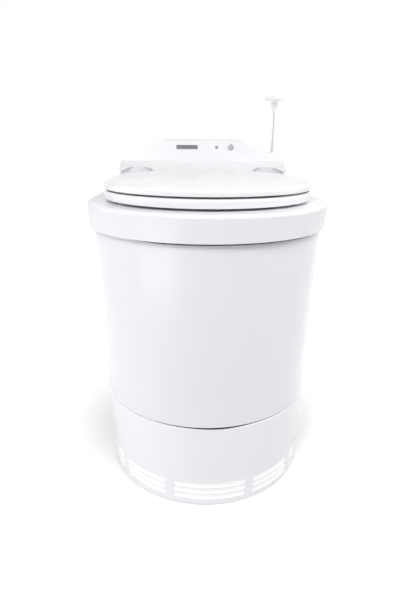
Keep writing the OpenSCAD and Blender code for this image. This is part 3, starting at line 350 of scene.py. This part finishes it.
BAND_EAGER = 3                              # it is fully out once a third of the fade is done


def fade(angle, first, full_from, full_to, last):
    """0 outside first and last, 1 between full_from and full_to."""
    if angle < full_from:
        return max(0.0, (angle - first) / (full_from - first))
    if angle > full_to:
        return max(0.0, (last - angle) / (last - full_to))
    return 1.0


def cover_painted_shadow_profile(angle):
    """Painted shadow: a dark skin over the cover's rounded upper edge, in the shade of the seam's gap,
    widest in the middle.
    """
    part = fade(angle, *COVER_SHADOW_ENDS)
    arc = [math.radians(90 - SKIN_ARC * part * k / SKIN_STEPS) for k in range(SKIN_STEPS + 1)]
    proud = EDGE_ROUND - SKIN_END_SUNK + SKIN_RISE * min(1.0, SKIN_EAGER * part)
    sides = []
    for radius in (proud, EDGE_ROUND - SKIN_SUNK):
        curve = [(EDGE_R + radius * math.cos(turn), EDGE_Z + radius * math.sin(turn)) for turn in arc]
        sides.append([(EDGE_R - SKIN_LAP, curve[0][1])] + curve)
    outside, inside = sides
    return outside + inside[::-1]


def collar_painted_shadow_profile(angle):
    """Painted shadow: a thin dark band on the shell just below the collar's foot, in the collar's shade."""
    part = fade(angle, *COLLAR_SHADOW_ENDS)
    low = COLLAR_FOOT - BAND_DROP - BAND_MORE_DROP * part
    inside = SHELL_R - BAND_SUNK
    outside = SHELL_R + BAND_PROUD * min(1.0, BAND_EAGER * part)
    return [(inside, low), (outside, low), (outside, BAND_TOP), (inside, BAND_TOP)]


def round_painted_shadow(name, ends, profile):
    """Closed dark band of painted shadow round the front's axis; profile(angle) gives its (radius, height)
    points.
    """
    first, last = ends[0], ends[-1]
    rings = []
    for k in range(PAINTED_SHADOW_STEPS + 1):
        angle = first + (last - first) * k / PAINTED_SHADOW_STEPS
        turn = math.radians(angle)
        rings.append([(MM * r * math.sin(turn), AXIS_Y - MM * r * math.cos(turn), MM * z)
                      for r, z in profile(angle)])
    return mesh_piece(name, skinned(rings), looks["painted_shadow_dark"])


# painted shadow strips: one on the cover's seam edge, one under the collar
cover_painted_shadow = round_painted_shadow("cover_painted_shadow", COVER_SHADOW_ENDS, cover_painted_shadow_profile)
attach(cover_painted_shadow, "cover")
collar_painted_shadow = round_painted_shadow("collar_painted_shadow", COLLAR_SHADOW_ENDS, collar_painted_shadow_profile)
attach(collar_painted_shadow, "body")

# Floor and world
FLOOR_HALF = 6.0                # half the floor's side, in metres
SHADOW_REACH = (0.2, 0.5)       # distances from the middle between which the floor's own glow grows
SHADOW_GLOW = (0.18, 1.0)       # its strength at those two distances
FLOOR_TONES = (0.81, 0.83)      # darkest and lightest grey
FLOOR_GRAIN = 6.0               # noise scale of its specks


def shown_white(tree):
    """1 for rays that show the background: from the camera, off gloss or through glass."""
    path = tree.nodes.new("ShaderNodeLightPath")
    shown = path.outputs["Is Camera Ray"]
    for name in ("Is Glossy Ray", "Is Transmission Ray"):
        most = tree.nodes.new("ShaderNodeMath")
        most.operation = "MAXIMUM"
        tree.links.new(shown, most.inputs[0])
        tree.links.new(path.outputs[name], most.inputs[1])
        shown = most.outputs[0]
    return shown


def floor_material():
    """Pale floor that grows white away from the object and keeps its shadow."""
    mat = bpy.data.materials.new("studio_floor")
    mat.use_nodes = True
    tree = mat.node_tree
    tree.nodes.clear()
    link = tree.links.new

    speck = tree.nodes.new("ShaderNodeTexNoise")
    speck.inputs["Scale"].default_value = FLOOR_GRAIN
    ramp = tree.nodes.new("ShaderNodeValToRGB")
    for end, tone in zip(ramp.color_ramp.elements, FLOOR_TONES):
        end.color = (tone, tone, tone, 1)
    diffuse = tree.nodes.new("ShaderNodeBsdfDiffuse")
    link(speck.outputs[0], ramp.inputs["Fac"])
    link(ramp.outputs["Color"], diffuse.inputs["Color"])

    coord = tree.nodes.new("ShaderNodeTexCoord")
    length = tree.nodes.new("ShaderNodeVectorMath")
    length.operation = "LENGTH"
    reach = tree.nodes.new("ShaderNodeMapRange")
    reach.inputs["From Min"].default_value, reach.inputs["From Max"].default_value = SHADOW_REACH
    reach.inputs["To Min"].default_value, reach.inputs["To Max"].default_value = SHADOW_GLOW
    scale = tree.nodes.new("ShaderNodeMath")
    scale.operation = "MULTIPLY"
    glow = tree.nodes.new("ShaderNodeEmission")
    link(coord.outputs["Object"], length.inputs[0])
    link(length.outputs["Value"], reach.inputs["Value"])
    link(shown_white(tree), scale.inputs[0])
    link(reach.outputs["Result"], scale.inputs[1])
    link(scale.outputs[0], glow.inputs["Strength"])

    both = tree.nodes.new("ShaderNodeAddShader")
    out = tree.nodes.new("ShaderNodeOutputMaterial")
    link(diffuse.outputs[0], both.inputs[0])
    link(glow.outputs[0], both.inputs[1])
    link(both.outputs[0], out.inputs["Surface"])
    return mat


floor_mesh = bmesh.new()
bmesh.ops.create_grid(floor_mesh, x_segments=2, y_segments=2, size=FLOOR_HALF)
floor = mesh_piece("studio_floor", floor_mesh, floor_material(), smooth=False)

world = bpy.data.worlds.new("studio")
bpy.context.scene.world = world
world.use_nodes = True
world_tree = world.node_tree
world_tree.nodes.clear()
background = world_tree.nodes.new("ShaderNodeBackground")
background.inputs["Color"].default_value = (1, 1, 1, 1)
world_out = world_tree.nodes.new("ShaderNodeOutputWorld")
world_tree.links.new(shown_white(world_tree), background.inputs["Strength"])
world_tree.links.new(background.outputs[0], world_out.inputs["Surface"])

# Lamps: name, place, aim, size in metres and power in watts
MIDDLE = (0, 0, 0.35)
FOOT = (0, -0.1, 0.12)
LAMPS = [
    ("key_left", (-0.7, -1.5, 1.95), MIDDLE, (0.7, 0.7), 23.5),
    ("key_right", (0.7, -1.5, 1.95), MIDDLE, (0.7, 0.7), 7.5),
    ("top_right", (1.4, -0.6, 2.0), MIDDLE, (1.2, 1.2), 22.0),
    ("side_left", (-2.2, 0.0, 0.9), MIDDLE, (2.0, 1.6), 15.5),
    ("side_right", (2.2, 0.0, 0.9), MIDDLE, (2.0, 1.6), 8.0),
    ("rear", (0.0, 2.2, 0.25), MIDDLE, (1.6, 0.4), 20.0),
    ("low_left", (-0.9, -0.95, 0.10), FOOT, (0.8, 0.12), 1.7),
]
for name, place, target, size, power in LAMPS:
    lamp = bpy.data.lights.new(name, "AREA")
    lamp.shape = "RECTANGLE"
    lamp.size, lamp.size_y = size
    lamp.energy = power
    holder = bpy.data.objects.new(name, lamp)
    holder.location = place
    holder.rotation_euler = (Vector(target) - Vector(place)).to_track_quat("-Z", "Y").to_euler()
    bpy.context.scene.collection.objects.link(holder)

# Camera, fitted to the round edges of the photographed object
PICTURE_HEIGHT = 608            # pixels
FOCAL = 454.0                   # pixels
SHIFT = 1.55                    # pixels
SENSOR = 36.0                   # millimetres over the picture's height
CAMERA_AT = Vector((-0.03523, -0.91684, 0.6067))
PITCH, YAW, ROLL = (math.radians(angle) for angle in (19.24, -2.42, 0.45))

ahead = Vector((-math.sin(YAW) * math.cos(PITCH), math.cos(YAW) * math.cos(PITCH), -math.sin(PITCH)))
level = ahead.cross(Vector((0, 0, 1))).normalized()
above = level.cross(ahead)
right = math.cos(ROLL) * level + math.sin(ROLL) * above
up = -math.sin(ROLL) * level + math.cos(ROLL) * above
placing = Matrix((right, up, -ahead)).transposed().to_4x4()
placing.translation = CAMERA_AT
lens = bpy.data.cameras.new("camera")
lens.sensor_width = SENSOR
lens.lens = FOCAL / PICTURE_HEIGHT * SENSOR
lens.shift_x = SHIFT / PICTURE_HEIGHT
lens.clip_end = 50
camera = bpy.data.objects.new("camera", lens)
camera.matrix_world = placing
bpy.context.scene.collection.objects.link(camera)
bpy.context.scene.camera = camera
bpy.context.scene.view_settings.view_transform = "Standard"
